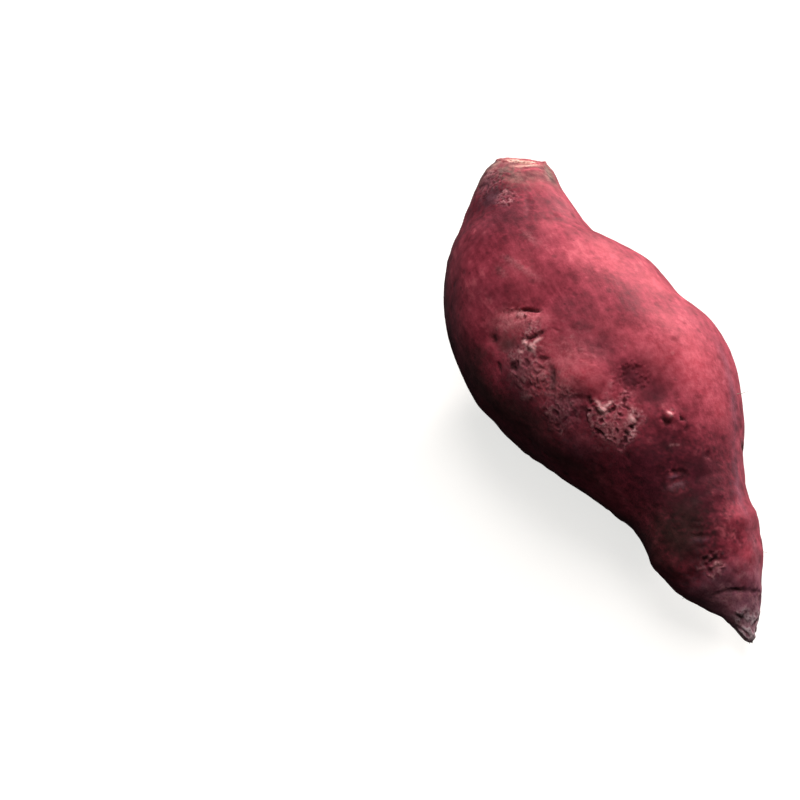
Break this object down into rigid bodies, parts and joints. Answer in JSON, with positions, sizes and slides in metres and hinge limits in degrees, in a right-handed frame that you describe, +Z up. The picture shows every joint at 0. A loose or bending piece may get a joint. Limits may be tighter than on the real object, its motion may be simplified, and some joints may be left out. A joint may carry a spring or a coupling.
{
  "type": "sweet potato",
  "caption": "Whole sweet potato root with red-purple skin, lying on its belly, with a snapped neck, humps, eyes and a tapering tail.",
  "frame": {"origin": "on the small flat spot that the root rests on, below its centre of mass", "axes": "+X along the root from its snapped neck to its tail, +Z up"},
  "size_m": [0.1608, 0.0701, 0.0612],
  "materials": {
    "skin": "satin"
  },
  "bodies": {
    "root": {"sweet_potato": "skin"}
  },
  "joints": []
}
